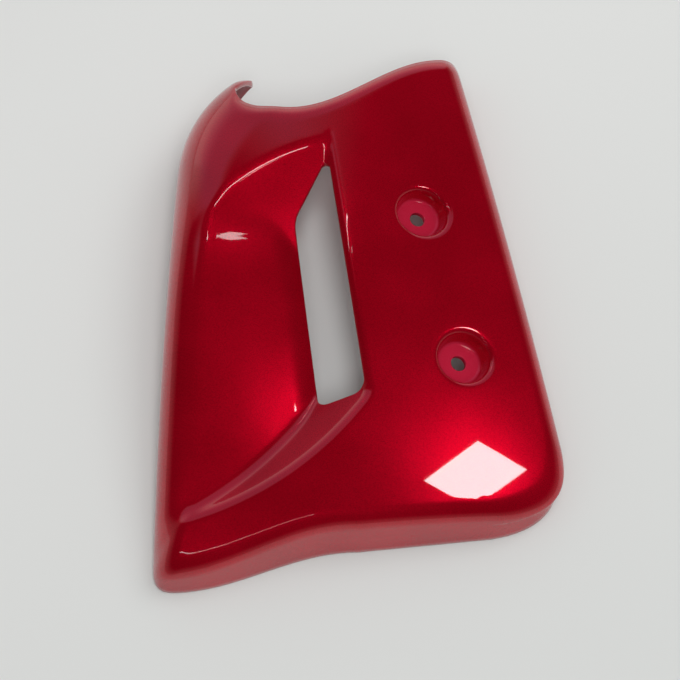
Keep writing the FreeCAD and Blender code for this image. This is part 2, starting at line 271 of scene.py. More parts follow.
    def draft(self, x: Array, y: Array) -> Array:
        """Lean of the nearest side wall, in radians."""
        right_share = ease(*self.right_share_span, self.front_inside(x, y) - self.right_inside(x, y))
        edge = self.draft_front + (self.draft_right - self.draft_front) * right_share
        return np.radians(edge + (self.draft_left - edge) * self.left_share(x, y))

    def top_y(self, x: Array) -> Array:
        """Far edge of the panel."""
        low, high = self.top_y_span
        return low + (high - low) * wave(*self.top_x_span, x)

    def top_drop(self, x: Array, y: Array, inset: float) -> Array:
        """How far the skin rolls down towards the far edge.

        Args:
            x: plan positions across the panel.
            y: plan positions along the panel.
            inset: 0 for the painted face, the wall's thickness for the underside.

        Returns:
            Drops below the panel, zero away from the far edge.
        """
        radius = self.top_roll - inset
        reach = np.maximum(self.top_roll_width - inset - self.top_roll_scale * (self.top_y(x) - y), 0.0)
        limit = self.top_roll_limit * radius
        end = math.sqrt(radius * radius - limit * limit)
        curve = radius - np.sqrt(radius * radius - np.minimum(reach, limit) ** 2)
        beyond = np.clip(reach - limit, 0.0, self.top_roll_beyond) * limit / end
        return (curve + beyond) * ease(*self.top_roll_fade, x)

    def recess_depth(self, x: Array, y: Array) -> Array:
        """Depth of the recess, with its vane and its facets, below the crown.

        Args:
            x: plan positions across the panel.
            y: plan positions along the panel.

        Returns:
            Depths, zero outside the recess.
        """
        slot_left, slot_foot = self.slot_corners[1][:2], self.slot_corners[2][:2]
        roll = np.maximum(0.0, self.vane_roll_width + right_of(slot_foot, slot_left, x, y))
        hinge = right_of(self.lower_left, self.crease_left, x, y)
        vane = self.vane_slope * hinge + roll * roll / (2 * self.vane_roll)
        above = right_of_bow(self.crease_left, self.crease_right, self.crease_bow, x, y)
        below = right_of_bow(self.lower_right, self.lower_left, self.lower_bow, x, y)
        upper, lower = self.upper_slope * above, self.lower_slope * below
        lip = self.lip_slope * right_of(self.crease_right, self.lower_right, x, y)
        facets = np.stack([vane, upper, lower, lip])
        share = np.exp(facets.min(axis=0) - facets)
        widths = np.array(self.facet_soft).reshape((4,) + (1,) * np.ndim(x))
        soft = (share * widths).sum(axis=0) / share.sum(axis=0)
        depth = soft_min(vane, upper, self.upper_valley)
        depth = soft_min(depth, lower, self.lower_valley)
        depth = soft_min(depth, lip, self.lip_valley)
        return soft_max(depth, np.zeros_like(depth), soft)

    def panel(self, x: Array, y: Array) -> Array:
        """Height of the crown with its recess."""
        return self.crown(x, y) - self.recess_depth(x, y)

    def skin(self, x: Array, y: Array, inset: float = 0.0) -> Array:
        """Height of the skin at a plan point.

        Args:
            x: plan positions across the panel.
            y: plan positions along the panel.
            inset: 0 for the painted face, the wall's thickness for the underside.

        Returns:
            Heights above the rim's plane, below zero outside the rim.
        """
        level = self.panel(x, y)
        if inset > 0:
            step = self.slope_step
            gx = (self.panel(x + step, y) - self.panel(x - step, y)) / (2 * step)
            gy = (self.panel(x, y + step) - self.panel(x, y - step)) / (2 * step)
            level = level - inset * np.sqrt(1 + gx * gx + gy * gy)
        level = level - self.top_drop(x, y, inset)
        inside = self.rim_inside(x, y) - inset
        radius = self.roll_radius(x, y) - inset
        lean = self.draft(x, y)
        start = (radius + (level - radius) * np.sin(lean)) / np.cos(lean)
        arc = np.sqrt(np.maximum(radius**2 - (start - inside) ** 2, 0.0))
        wall = inside / np.tan(lean)
        on_roll = inside >= start - radius * np.cos(lean)
        return np.where(inside >= start, level, np.where(on_roll, level - radius + arc, wall))

    def lift(self, plan: Array, inset: float) -> Array:
        """Plan points raised to the skin."""
        return np.column_stack([plan, self.skin(plan[:, 0], plan[:, 1], inset)])

    def tuck(self, x: Array, y: Array) -> Array:
        """How far the lip at the front right corner is set in; below 0 where it has run out.

        Args:
            x: plan positions across the panel.
            y: plan positions along the panel.

        Returns:
            Distances inward from the painted face.
        """
        angle = np.degrees(np.arctan2(y - self.tuck_centre[1], x - self.tuck_centre[0]))
        share = (angle - self.tuck_angles[0]) / (self.tuck_angles[1] - self.tuck_angles[0])
        fade = ease(0.0, self.tuck_ends[0], share) * ease(0.0, self.tuck_ends[1], 1 - share)
        return (self.tuck_inset + self.tuck_threshold) * fade - self.tuck_threshold


class NodeBench:
    """Adds nodes to one tree and joins them up."""

    def __init__(self, tree: Tree) -> None:
        """Takes the tree to work on."""
        self.tree = tree

    def put(self, kind: str, **settings: object) -> bpy.types.Node:
        """Adds a node and sets its options.

        Args:
            kind: the node's type.
            settings: the options by name.

        Returns:
            The new node.
        """
        node = self.tree.nodes.new(kind)
        for name, value in settings.items():
            setattr(node, name, value)
        return node

    def feed(self, socket: Socket, value: object) -> None:
        """Links a value to a socket, or sets it there if it is a constant.

        Args:
            socket: the input to feed.
            value: an output to link, or a constant.
        """
        if isinstance(value, Socket):
            self.tree.links.new(value, socket)
        else:
            socket.default_value = value

    def join(self, kind: str, given: dict[str | int, object], result: str, **settings: object) -> Socket:
        """Adds a node and feeds it.

        Args:
            kind: the node's type.
            given: values or sockets by the names or numbers of the node's inputs.
            result: name of the output to hand out.
            settings: the node's options.

        Returns:
            The named output.
        """
        node = self.put(kind, **settings)
        for name, value in given.items():
            self.feed(node.inputs[name], value)
        return node.outputs[result]

    def math(self, rule: str, a: object, b: object) -> Socket:
        """Joins two numbers by a rule of the Math node."""
        return self.join("ShaderNodeMath", {0: a, 1: b}, "Value", operation=rule)

    def vector(self, rule: str, a: object, b: object = (0.0, 0.0, 0.0), result: str = "Vector") -> Socket:
        """Joins two vectors by a rule of the Vector Math node."""
        return self.join("ShaderNodeVectorMath", {0: a, 1: b}, result, operation=rule)

    def ramp(self, value: Socket, span: Pair, result: Pair) -> Socket:
        """Smooth change of a value over a span to a new range."""
        names = ("From Min", "From Max", "To Min", "To Max")
        given = {"Value": value, **dict(zip(names, (*span, *result)))}
        return self.join("ShaderNodeMapRange", given, "Result", interpolation_type="SMOOTHSTEP")

    def mix(self, share: object, a: object, b: object, kind: str = "FLOAT") -> Socket:
        """Mixes two numbers, or two colours where kind is RGBA, by a share of the second."""
        return self.join("ShaderNodeMix", {"Factor": share, "A": a, "B": b}, "Result", data_type=kind)


def show(name: str, data: bpy.types.ID) -> bpy.types.Object:
    """Adds an object to the scene."""
    thing = bpy.data.objects.new(name, data)
    bpy.context.scene.collection.objects.link(thing)
    return thing


@dataclass(frozen=True)
class ScrewCups:
    """The two round cups that the screws' heads sit in, in millimetres and degrees.

    The rooms say where the flats beside the roundings begin, in the roundings' radii.
    """

    middle: Pair = (47.2, 25.5)
    spacing: float = 73.0
    heading: float = 14.8
    tilt: float = 16.0
    depth: float = 8.5
    floor_radius: float = 10.2
    mouth_radius: float = 12.2
    mouth_round: float = 2.8
    bare_mouth_round: float = 1.5
    floor_round: float = 1.8
    foot_round: float = 0.9
    hole_radius: float = 3.5
    hole_round: float = 0.35
    sides: int = 80
    fillet_steps: int = 6
    mouth_steps: int = 8
    painted_height: float = 2.4
    bare_height: float = 0.3
    # Where the dry spray and its painted pale reflection fade out round and up the cups.
    dry_fade: float = 1.0
    dry_height: float = 0.2
    weld: float = 0.002
    floor_room: float = 1.3
    foot_room: float = 1.4
    hole_room: float = 2.0
    settle_rounds: int = 30
    settle_share: float = 0.8

    @property
    def flare(self) -> float:
        """Growth of the cup's radius with height."""
        return (self.mouth_radius - self.floor_radius) / self.depth

    def axes(self) -> tuple[Array, Array, Array]:
        """Unit vectors of the cups: across, along the panel and out of the mouth.

        Returns:
            The three vectors, square to each other.
        """
        tilt = math.radians(self.tilt)
        across = np.array([math.cos(tilt), 0.0, -math.sin(tilt)])
        out = np.array([math.sin(tilt), 0.0, math.cos(tilt)])
        return across, np.array([0.0, 1.0, 0.0]), out

    def floors(self, form: PanelForm) -> list[Array]:
        """Centres of the two cup floors.

        Args:
            form: the panel's sizes.

        Returns:
            The near centre and the far one.
        """
        out = self.axes()[2]
        heading = math.radians(self.heading)
        along = np.array([-math.sin(heading), math.cos(heading), 0.0])
        along = along - out * along.dot(out)
        along /= np.linalg.norm(along)
        x, y = self.middle
        top = np.array([x, y, float(form.crown(np.float64(x), np.float64(y)))])
        return [top - out * self.depth + along * (self.spacing * side) for side in (-0.5, 0.5)]

    def dryness(self, points: Array, form: PanelForm) -> Array:
        """Share of dry spray and painted pale reflection at points: 1 on the cups' floors, 0 on their walls.

        Args:
            points: positions in millimetres, in the panel's own frame.
            form: the panel's sizes.

        Returns:
            One share for each point.
        """
        out = self.axes()[2]
        dry_and_reflection = np.zeros(len(points))
        for floor in self.floors(form):
            arm = points - floor
            height = arm @ out
            radius = np.linalg.norm(arm - height[:, None] * out, axis=1)
            within = 1 - ease(self.mouth_radius, self.mouth_radius + self.dry_fade, radius)
            dry_and_reflection = np.maximum(dry_and_reflection, within * (1 - ease(self.dry_height, self.floor_round, height)))
        return dry_and_reflection

    def profile(self, bench: NodeBench, size: bpy.types.NodeOutputs) -> Socket:
        """Draws half a bowl's section, from its painted wall through the hole's edge to its bare wall.

        Args:
            bench: the bowls' tree.
            size: the tree's named inputs.

        Returns:
            The section as a curve, its X measured from the floor's radius and its Y downward.
        """
        floor, wall, hole, flare = (size[name] for name in ("Floor Radius", "Wall", "Hole Radius", "Flare"))
        painted, bare = size["Painted Height"], size["Bare Height"]
        floor_round, foot_round, hole_round = (size[f"{name} Round"] for name in ("Floor", "Foot", "Hole"))
        down = bench.math("MULTIPLY", wall, -1.0)
        outer = bench.math("ADD", floor, wall)
        foot = bench.math("ADD", outer, bench.math("MULTIPLY", flare, down))
        beside_hole = bench.math("ADD", hole, bench.math("MULTIPLY", hole_round, self.hole_room))
        corners = (
            (bench.math("ADD", floor, bench.math("MULTIPLY", flare, painted)), painted, 0.0),
            (floor, 0.0, floor_round),
            (bench.math("SUBTRACT", floor, bench.math("MULTIPLY", floor_round, self.floor_room)), 0.0, 0.0),
            (beside_hole, 0.0, 0.0),
            (hole, 0.0, hole_round),
            (hole, down, hole_round),
            (beside_hole, down, 0.0),
            (bench.math("SUBTRACT", foot, bench.math("MULTIPLY", foot_round, self.foot_room)), down, 0.0),
            (foot, down, foot_round),
            (bench.math("ADD", outer, bench.math("MULTIPLY", flare, bare)), bare, 0.0),
        )
        index = bench.put("GeometryNodeInputIndex").outputs["Index"]
        kinds = ("VECTOR", "FLOAT")
        places, rounds = (bench.put("GeometryNodeIndexSwitch", data_type=kind) for kind in kinds)
        for switch in (places, rounds):
            bench.feed(switch.inputs["Index"], index)
            for _ in range(len(corners) - len(switch.index_switch_items)):
                switch.index_switch_items.new()
        for number, (radius, height, turn) in enumerate(corners):
            spot = {"X": bench.math("SUBTRACT", radius, floor), "Y": bench.math("MULTIPLY", height, -1.0)}
            bench.feed(places.inputs[str(number)], bench.join("ShaderNodeCombineXYZ", spot, "Vector"))
            bench.feed(rounds.inputs[str(number)], turn)
        line = bench.join("GeometryNodeMeshLine", {"Count": len(corners)}, "Mesh")
        given = {"Geometry": line, "Position": places.outputs["Output"]}
        line = bench.join("GeometryNodeSetPosition", given, "Geometry")
        line = bench.join("GeometryNodeMeshToCurve", {"Mesh": line}, "Curve")
        given = {"Curve": line, "Count": self.fillet_steps, "Radius": rounds.outputs["Output"]}
        given["Limit Radius"] = True
        return bench.join("GeometryNodeFilletCurve", given, "Curve", mode="POLY")

    def tree(self, values: dict[str, object]) -> Tree:
        """Builds the tree that spins a bowl, sets one at each floor and welds both into the shell.

        Args:
            values: the inputs' names and values; a value's type gives its input's type.

        Returns:
            The new tree.
        """
        kinds = {float: "Float", int: "Int", list: "Vector", bpy.types.Material: "Material"}
        tree = bpy.data.node_groups.new("screw_cups", "GeometryNodeTree")
        for way in ("INPUT", "OUTPUT"):
            tree.interface.new_socket("Shell", in_out=way, socket_type="NodeSocketGeometry")
        for label, value in values.items():
            tree.interface.new_socket(label, in_out="INPUT", socket_type="NodeSocket" + kinds[type(value)])
        bench = NodeBench(tree)
        size = bench.put("NodeGroupInput").outputs
        given = {"Resolution": size["Sides"], "Radius": size["Floor Radius"]}
        circle = bench.join("GeometryNodeCurvePrimitiveCircle", given, "Curve", mode="RADIUS")
        given = {"Curve": circle, "Profile Curve": self.profile(bench, size)}
        bowl = bench.join("GeometryNodeCurveToMesh", given, "Mesh")
        bowl = bench.join("GeometryNodeFlipFaces", {"Mesh": bowl}, "Mesh")
        normal = bench.put("GeometryNodeInputNormal").outputs["Normal"]
        place = bench.put("GeometryNodeInputPosition").outputs["Position"]
        arm = bench.vector("NORMALIZE", bench.vector("MULTIPLY", place, (1.0, 1.0, 0.0)))
        aim = bench.vector("SUBTRACT", (0.0, 0.0, 1.0), arm)
        facing = bench.vector("DOT_PRODUCT", normal, aim, "Value")
        given = {"Geometry": bowl, "Name": BARE, "Value": bench.math("LESS_THAN", facing, 0.0)}
        store = {"data_type": "BOOLEAN", "domain": "FACE"}
        bowl = bench.join("GeometryNodeStoreNamedAttribute", given, "Geometry", **store)
        given = {"Count": 2, "Start Location": size["Near Floor"], "Offset": size["Far Floor"]}
        spots = bench.join("GeometryNodeMeshLine", given, "Mesh", mode="END_POINTS")
        lean = bench.join("ShaderNodeCombineXYZ", {"Y": size["Tilt"]}, "Vector")
        turn = bench.join("FunctionNodeEulerToRotation", {"Euler": lean}, "Rotation")
        given = {"Points": spots, "Instance": bowl, "Rotation": turn}
        bowls = bench.join("GeometryNodeInstanceOnPoints", given, "Instances")
        bowls = bench.join("GeometryNodeRealizeInstances", {"Geometry": bowls}, "Geometry")
        given = {"Geometry": bowls, "Material": size["Paint"]}
        bowls = bench.join("GeometryNodeSetMaterial", given, "Geometry")
        named = {"Name": BARE}
        bare = bench.join("GeometryNodeInputNamedAttribute", named, "Attribute", data_type="BOOLEAN")
        given = {"Geometry": bowls, "Selection": bare, "Material": size["Underside"]}
        bowls = bench.join("GeometryNodeSetMaterial", given, "Geometry")
        whole = bench.put("GeometryNodeJoinGeometry")
        for part in (size["Shell"], bowls):
            bench.feed(whole.inputs["Geometry"], part)
        given = {"Geometry": whole.outputs["Geometry"], "Distance": size["Weld"]}
        shell = bench.join("GeometryNodeMergeByDistance", given, "Geometry")
        shell = bench.join("GeometryNodeSetShadeSmooth", {"Geometry": shell}, "Geometry")
        bench.feed(bench.put("NodeGroupOutput").inputs["Shell"], shell)
        return tree

    def fit(self, piece: bpy.types.Object, form: PanelForm, coats: Sequence[bpy.types.Material]) -> None:
        """Fits both bowls into a shell that is open below the cups' walls, and bakes the result.

        Args:
            piece: the shell, in the panel's own frame.
            form: the panel's sizes.
            coats: materials in the order of Side.
        """
        lengths = {
            "Floor Radius": self.floor_radius,
            "Wall": form.wall,
            "Hole Radius": self.hole_radius,
            "Painted Height": self.painted_height,
            "Bare Height": self.bare_height,
            "Floor Round": self.floor_round,
            "Foot Round": self.foot_round,
            "Hole Round": self.hole_round,
            "Weld": self.weld,
        }
        values: dict[str, object] = {name: length * METRE for name, length in lengths.items()}
        values |= {"Flare": self.flare, "Tilt": math.radians(self.tilt), "Sides": self.sides}
        for name, floor in zip(("Near Floor", "Far Floor"), self.floors(form)):
            values[name] = [float(v) * METRE for v in floor]
        values |= {"Paint": coats[Side.PAINTED], "Underside": coats[Side.UNDERSIDE]}
        modifier = piece.modifiers.new("screw_cups", "NODES")
        modifier.node_group = self.tree(values)
        for item in modifier.node_group.interface.items_tree:
            if item.in_out == "INPUT" and item.name in values:
                modifier[item.identifier] = values[item.name]
        piece.update_tag()
        baked = piece.evaluated_get(bpy.context.evaluated_depsgraph_get())
        piece.data, raw = bpy.data.meshes.new_from_object(baked), piece.data
        piece.modifiers.remove(modifier)
        bpy.data.meshes.remove(raw)
        for number in reversed(range(len(piece.data.materials))):
            if piece.data.materials[number] is None:
                piece.data.materials.pop(index=number)


class ShellMesh:
    """Points and faces of one closed mesh while it grows."""

    def __init__(self) -> None:
        """Starts with nothing."""
        self.blocks: list[Array] = []
        self.count = 0
        self.faces: list[tuple[int, ...]] = []
        self.sides: list[int] = []

    def add(self, points: Array) -> Array:
        """Adds points.

        Args:
            points: array whose last axis is X, Y, Z in millimetres.

        Returns:
            The points' numbers, in the array's own shape.
        """
        flat = points.reshape(-1, 3)
        numbers = np.arange(self.count, self.count + len(flat))
        self.blocks.append(flat)
        self.count += len(flat)
        return numbers.reshape(points.shape[:-1])

    def points(self) -> Array:
        """All the points so far."""
        return np.concatenate(self.blocks)

    def face(self, numbers: Sequence[int], side: Side, flip: bool) -> None:
        """Adds one face, turned the other way where flip is set."""
        self.faces.append(tuple(int(n) for n in (numbers[::-1] if flip else numbers)))
        self.sides.append(int(side))

    def strip(self, a: Array, b: Array, side: Side, flip: bool, closed: bool = False) -> None:
        """Joins two rows of points with four-sided faces.

        Args:
            a: first row's numbers.
            b: second row's numbers, as many as the first.
            side: which face of the wall they belong to.
            flip: whether the faces turn the other way.
            closed: whether the rows are rings.
        """
        size = len(a)
        for i in range(size if closed else size - 1):
            j = (i + 1) % size
            self.face((a[i], a[j], b[j], b[i]), side, flip)


def inside_loop(loop: Array, points: Array) -> Array:
    """Tells which plan points lie inside a closed loop.

    Args:
        loop: the loop's corners, in order.
        points: plan points to test.

    Returns:
        One flag for each point.
    """
    found = np.zeros(len(points), bool)
    x, y = points[:, 0], points[:, 1]
    for (ax, ay), (bx, by) in zip(loop, np.roll(loop, -1, axis=0)):
        if ay == by:
            continue
        crosses = (ay > y) != (by > y)
        found ^= crosses & (x < (bx - ax) * (y - ay) / (by - ay) + ax)
    return found


def nearest_gap(points: Array, targets: Array) -> Array:
    """Distance from each plan point to the nearest target point.

    Args:
        points: plan points to measure from.
        targets: plan points to measure to.

    Returns:
        One distance for each point.
    """
    tree = kdtree.KDTree(len(targets))
    for number, (x, y) in enumerate(targets.tolist()):
        tree.insert((x, y, 0.0), number)
    tree.balance()
    return np.array([tree.find((x, y, 0.0))[2] for x, y in points.tolist()])


def smooth_along(values: Array, spread: float) -> Array:
    """Gaussian smoothing of evenly spaced values, with the end values held.

    Args:
        values: the values, in order.
        spread: the smoothing's spread, in steps.

    Returns:
        As many smoothed values.
    """
    reach = int(spread * 4) + 1
    weights = np.exp(-0.5 * (np.arange(-reach, reach + 1) / spread) ** 2)
    padded = np.concatenate([np.full(reach, values[0]), values, np.full(reach, values[-1])])
    return np.convolve(padded, weights / weights.sum(), mode="valid")


def bezier(a: Array, b: Array, c: Array, steps: int) -> list[Array]:
    """Rows of points on a quadratic curve from a to c, drawn to b, without a itself."""
    shares = [(i + 1) / steps for i in range(steps)]
    return [(1 - t) ** 2 * a + 2 * t * (1 - t) * b + t * t * c for t in shares]


def distances(points: Array) -> Array:
    """Distance along a path from its start to each of its points."""
    return np.concatenate([[0.0], np.cumsum(np.linalg.norm(np.diff(points, axis=0), axis=1))])


def places_at(at: Array, run: Array, points: Array) -> Array:
    """Places at given distances along a path, from its points and their own distances."""
    return np.stack([np.interp(at, run, values) for values in points.T], axis=1)


def plan_ways(angles: Array) -> Array:
    """Unit plan vectors at angles in radians."""
    return np.stack([np.cos(angles), np.sin(angles)], axis=1)


@dataclass
class ScoopShell:
    """The whole moulded shell: painted face, underside, rounded edges, slot, cups and tucked lip.

    Lengths are in millimetres. The calms are spreads of smoothing, in steps along the traced rim.
    """

    form: PanelForm = field(default_factory=PanelForm)
    cups: ScrewCups = field(default_factory=ScrewCups)
    edge_round: float = 0.6
    slant_reach: float = 60.0
    trace_centre: Pair = (0.0, 10.0)
    trace_angles: Pair = (95.0, 440.0)
    trace_reach: Pair = (20.0, 220.0)
    trace_rays: int = 6000
    trace_halvings: int = 50
    trace_step: float = 0.25
    bend_calm: float = 6.0
    spacing_calm: float = 10.0
    rib_calm: float = 48.0
    rib_turn: float = 0.16
    rib_step: float = 1.35
    corner_step: float = 0.7
    rib_end_reach: float = 12.0
    rib_search: float = 26.0
    rib_slope: float = 0.62
    rib_lengths: Pair = (5.0, 21.0)
    rib_taper: float = 0.38
    rib_samples: int = 400
    level_samples: int = 420
    level_crowding: float = 1.4
    roll_samples: int = 300
    roll_rows: int = 14
    painted_levels: tuple[float, ...] = (3.0, 6.0, 9.0, 11.5)
    painted_ledge: tuple[float, ...] = (-0.3, -0.26, -0.15, 0.05, 0.35)
    painted_tucks: tuple[float, ...] = (0.5, 0.25, 0.06, 0.0)
    under_levels: tuple[float, ...] = (4.0, 8.0, 11.0, 13.5)
    under_ledge: tuple[float, ...] = (-0.4, -0.2, -0.05, 0.1, 0.4)
    under_tucks: tuple[float, ...] = (0.8, 0.45, 0.15, 0.0)
    ledge_room: float = 2.0
    edge_steps: int = 105
    edge_lead: float = 2.0
    notch_steps: int = 24
    horn_steps: int = 16
    slot_arc_step: float = 0.6
    slot_step: float = 1.2
    cap_rows: int = 8
    fine_step: float = 0.8
    plain_step: float = 1.6
    fine_bend: float = 0.03
    rim_gap: float = 0.62
    grid_gap: float = 0.5
    under_coarsening: float = 1.6

    def trace_rim(self) -> Array:
        """Follows the rim outline at fine even steps.

        Returns:
            Plan points from the horn round the left, front and right sides to the far right corner.
        """
        form, rho = self.form, self.edge_round
        centre = np.array(self.trace_centre)
        aim = plan_ways(np.radians(np.linspace(*self.trace_angles, self.trace_rays)))
        near, far = (np.full(len(aim), reach) for reach in self.trace_reach)
        for _ in range(self.trace_halvings):
            mid = (near + far) / 2
            spot = centre + aim * mid[:, None]
            within = form.rim_inside(spot[:, 0], spot[:, 1]) > 0
            near, far = np.where(within, mid, near), np.where(within, far, mid)
        path = centre + aim * near[:, None]
        tip, rise, _ = self.horn()
        kept = ((path - tip) @ rise < 0) | (np.arange(len(path)) > len(path) // 3)
        kept &= (path[:, 1] < form.top_y_span[1] - rho) | (np.arange(len(path)) < 2 * len(path) // 3)
        path = path[kept]
        run = distances(path)
        return places_at(np.arange(0.0, run[-1], self.trace_step), run, path)

    def horn(self) -> tuple[Array, Array, Array]:
        """The horn's tip with room for its rounded edge, and the directions to the tip and outward.

        Returns:
            The plan point and the two unit plan vectors.
        """
        form = self.form
        low = np.array([form.notch_x, form.top_y_span[0] + form.notch_round])
        tip = np.array(form.horn_tip)
        rise = (tip - low) / np.linalg.norm(tip - low)
        out = np.array([-rise[1], rise[0]])
        return tip + (out - rise) * self.edge_round, rise, out

    def ribs(self) -> tuple[Array, Array, Array]:
        """Lays the ribs that run in from the rim.

        Returns:
            The ribs' start points, their unit directions and their lengths.
        """
        form, step, probe = self.form, self.trace_step, self.form.slope_step
        path = self.trace_rim()
        tip, _, out = self.horn()
        x, y = path.T
        gx = form.rim_inside(x + probe, y) - form.rim_inside(x - probe, y)
        gy = form.rim_inside(x, y + probe) - form.rim_inside(x, y - probe)
        turn = np.unwrap(np.arctan2(gy, gx))
        bend = np.abs(np.gradient(smooth_along(turn, self.bend_calm)) / step)
        run = np.arange(len(path)) * step
        aim = smooth_along(turn, self.rib_calm)
        first = math.atan2(-out[1], -out[0])
        last = aim[-1] + (math.pi - aim[-1] + math.pi) % (2 * math.pi) - math.pi
        aim = aim + (first - aim[0]) * np.exp(-((run / self.rib_end_reach) ** 2))
        aim = aim + (last - aim[-1]) * np.exp(-(((run[-1] - run) / self.rib_end_reach) ** 2))
        spacing = np.clip(self.rib_turn / np.maximum(bend, 1e-6), self.corner_step, self.rib_step)
        ticks = np.concatenate([[0.0], np.cumsum(step / smooth_along(spacing, self.spacing_calm))])[:-1]
        at = np.interp(np.linspace(0.0, ticks[-1], int(round(ticks[-1])) + 1), ticks, run)
        starts = places_at(at, run, path)
        ways = places_at(at, run, plan_ways(aim))
        ways /= np.linalg.norm(ways, axis=1)[:, None]
        reach = np.linspace(0.0, self.rib_search, self.rib_samples)
        x = starts[:, :1] + ways[:, :1] * reach
        y = starts[:, 1:] + ways[:, 1:] * reach
        slope = np.gradient(form.skin(x, y), reach, axis=1)
        clear = form.skin(x, y, form.wall) > form.tuck_height + form.tuck_overlap + self.ledge_room
        depth = np.clip(reach[np.argmax((slope < self.rib_slope) & clear, axis=1)], *self.rib_lengths)
        depth[0] = float(np.linalg.norm(starts[0] - tip))
        apart = np.abs(at[:, None] - at[None, :])
        return starts, ways, (depth[None, :] + self.rib_taper * apart).min(axis=1)

    def ring_rows(self, starts: Array, ways: Array, depths: Array, side: Side) -> Array:
        """Points of the steep ring along the rim.

        Args:
            starts: plan points on the rim outline.
            ways: unit directions of the ribs.
            depths: lengths of the ribs in plan.
            side: which face of the wall.

        Returns:
            Array of rows by ribs by X, Y, Z, from the rim inward.
        """
        form, inset = self.form, self.form.inset(side)
        tuck = form.tuck(starts[:, 0], starts[:, 1])
        if side is Side.PAINTED:
            plain, steps, ledge = self.painted_levels, self.painted_ledge, form.tuck_height
            tuck = np.maximum(tuck, 0.0)
            ends = [np.minimum(tuck, limit) for limit in self.painted_tucks]
        else:
            plain, steps, ledge = self.under_levels, self.under_ledge, form.tuck_height + form.tuck_overlap
            tuck = np.maximum(form.tuck_wall + tuck - form.wall, 0.0)
            ends = [tuck * share for share in self.under_tucks]
        levels = np.array([self.edge_round, *plain, *(ledge + step for step in steps)])
        tucks = np.array([tuck] * (len(levels) - len(ends)) + ends)
        shares = np.linspace(0.0, 1.0, self.level_samples) ** self.level_crowding
        ring: list[Array] = []
        for rib, (start, way, depth) in enumerate(zip(starts, ways, depths)):
            reach = shares * depth
            height = form.lift(start + way * reach[:, None], inset)[:, 2]
            low = np.interp(levels, height, reach) + tucks[:, rib]
            upper = np.linspace(np.interp(levels[-1], height, reach), depth, self.roll_samples)
            height = form.lift(start + way * upper[:, None], inset)[:, 2]
            run = distances(np.column_stack([upper, height]))
            high = np.interp(np.linspace(0.0, run[-1], self.roll_rows + 1)[1:], run, upper)
            wall = np.column_stack([start + way * low[:, None], levels])
            ring.append(np.concatenate([wall, form.lift(start + way * high[:, None], inset)]))
        return self.slant_end(np.array(ring).transpose(1, 0, 2))

    def slant_end(self, rows: Array) -> Array:
        """Draws the wall's end under the horn's tip back along the rim, the more the lower it is.

        Args:
            rows: the ring's points, rows by ribs by X, Y, Z, with the horn at the first rib.

        Returns:
            The same rows with their first ribs moved along the wall.
        """
        run = distances(rows[0, :, :2])
        fade = np.maximum(1 - run / self.slant_reach, 0.0)
        drops = np.maximum(rows[-1, 0, 2] - rows[:, 0, 2], 0.0)
        backs = self.form.horn_slant * drops
        return np.array([places_at(run + back * fade, run, row) for back, row in zip(backs, rows)])

    def far_edge(self, begin: Array) -> Array:
        """Plan points of the far edge, from the ring's last rib to just before the horn's tip.

        Args:
            begin: plan point where the ring's last rib ends.

        Returns:
            The points in order, without the start.
        """
        form, rho = self.form, self.edge_round
        tip, _, out = self.horn()
        cx, cy = form.notch_x + form.notch_round, form.top_y_span[0] + form.notch_round
        xs = np.linspace(begin[0], cx, self.edge_steps + 1)[1:]
        lead = np.exp(-((begin[0] - xs) / self.edge_lead)) * (begin[1] - form.top_y(begin[0]) + rho)
        slope = np.gradient(form.top_y(xs), xs)
        length = np.hypot(1, slope)
        line = np.stack([xs + rho * slope / length, form.top_y(xs) - rho / length + lead], axis=1)
        turn = np.radians(np.linspace(270.0, 180.0, self.notch_steps + 1))[1:]
        arc = np.array([cx, cy]) + (form.notch_round + rho) * plan_ways(turn)
        foot = np.array([form.notch_x, cy]) + out * rho
        climb = np.linspace(0.0, 1.0, self.horn_steps + 1)[1:-1, None]
        return np.concatenate([line, arc, foot + (tip - foot) * climb])

    def slot_loop(self) -> tuple[Array, Array]:
        """Plan points round the air slot, with room for its rounded edge, and the ways into the slot.

        Returns:
            The loop's points and as many unit plan vectors.
        """
        corners = self.form.slot_corners
        arcs: list[tuple[Array, Array]] = []
        for i, (px, py, radius) in enumerate(corners):
            here = np.array([px, py])
            back, ahead = (np.array(corners[k % len(corners)][:2]) - here for k in (i - 1, i + 1))
            back, ahead = back / np.linalg.norm(back), ahead / np.linalg.norm(ahead)
            half = math.acos(float(np.clip(back @ ahead, -1, 1))) / 2
            middle = (back + ahead) / np.linalg.norm(back + ahead)
            centre = here + middle * (radius / math.sin(half))
            first, last = (here + way * (radius / math.tan(half)) - centre for way in (back, ahead))
            sweep = math.atan2(first[0] * last[1] - first[1] * last[0], first @ last)
            steps = max(6, int(abs(sweep) * (radius + self.edge_round) / self.slot_arc_step))
            aim = plan_ways(math.atan2(first[1], first[0]) + sweep * np.linspace(0.0, 1.0, steps + 1))
            arcs.append((centre + aim * (radius + self.edge_round), -aim))
        points: list[Array] = []
        ways: list[Array] = []
        for (spots, aim), (following, _) in zip(arcs, arcs[1:] + arcs[:1]):
            begin, end = spots[-1], following[0]
            steps = max(2, int(np.linalg.norm(end - begin) / self.slot_step))
            points += [spots, begin + (end - begin) * np.linspace(0.0, 1.0, steps + 1)[1:-1, None]]
            ways += [aim, np.repeat(aim[-1:], steps - 1, axis=0)]
        return np.concatenate(points), np.concatenate(ways)

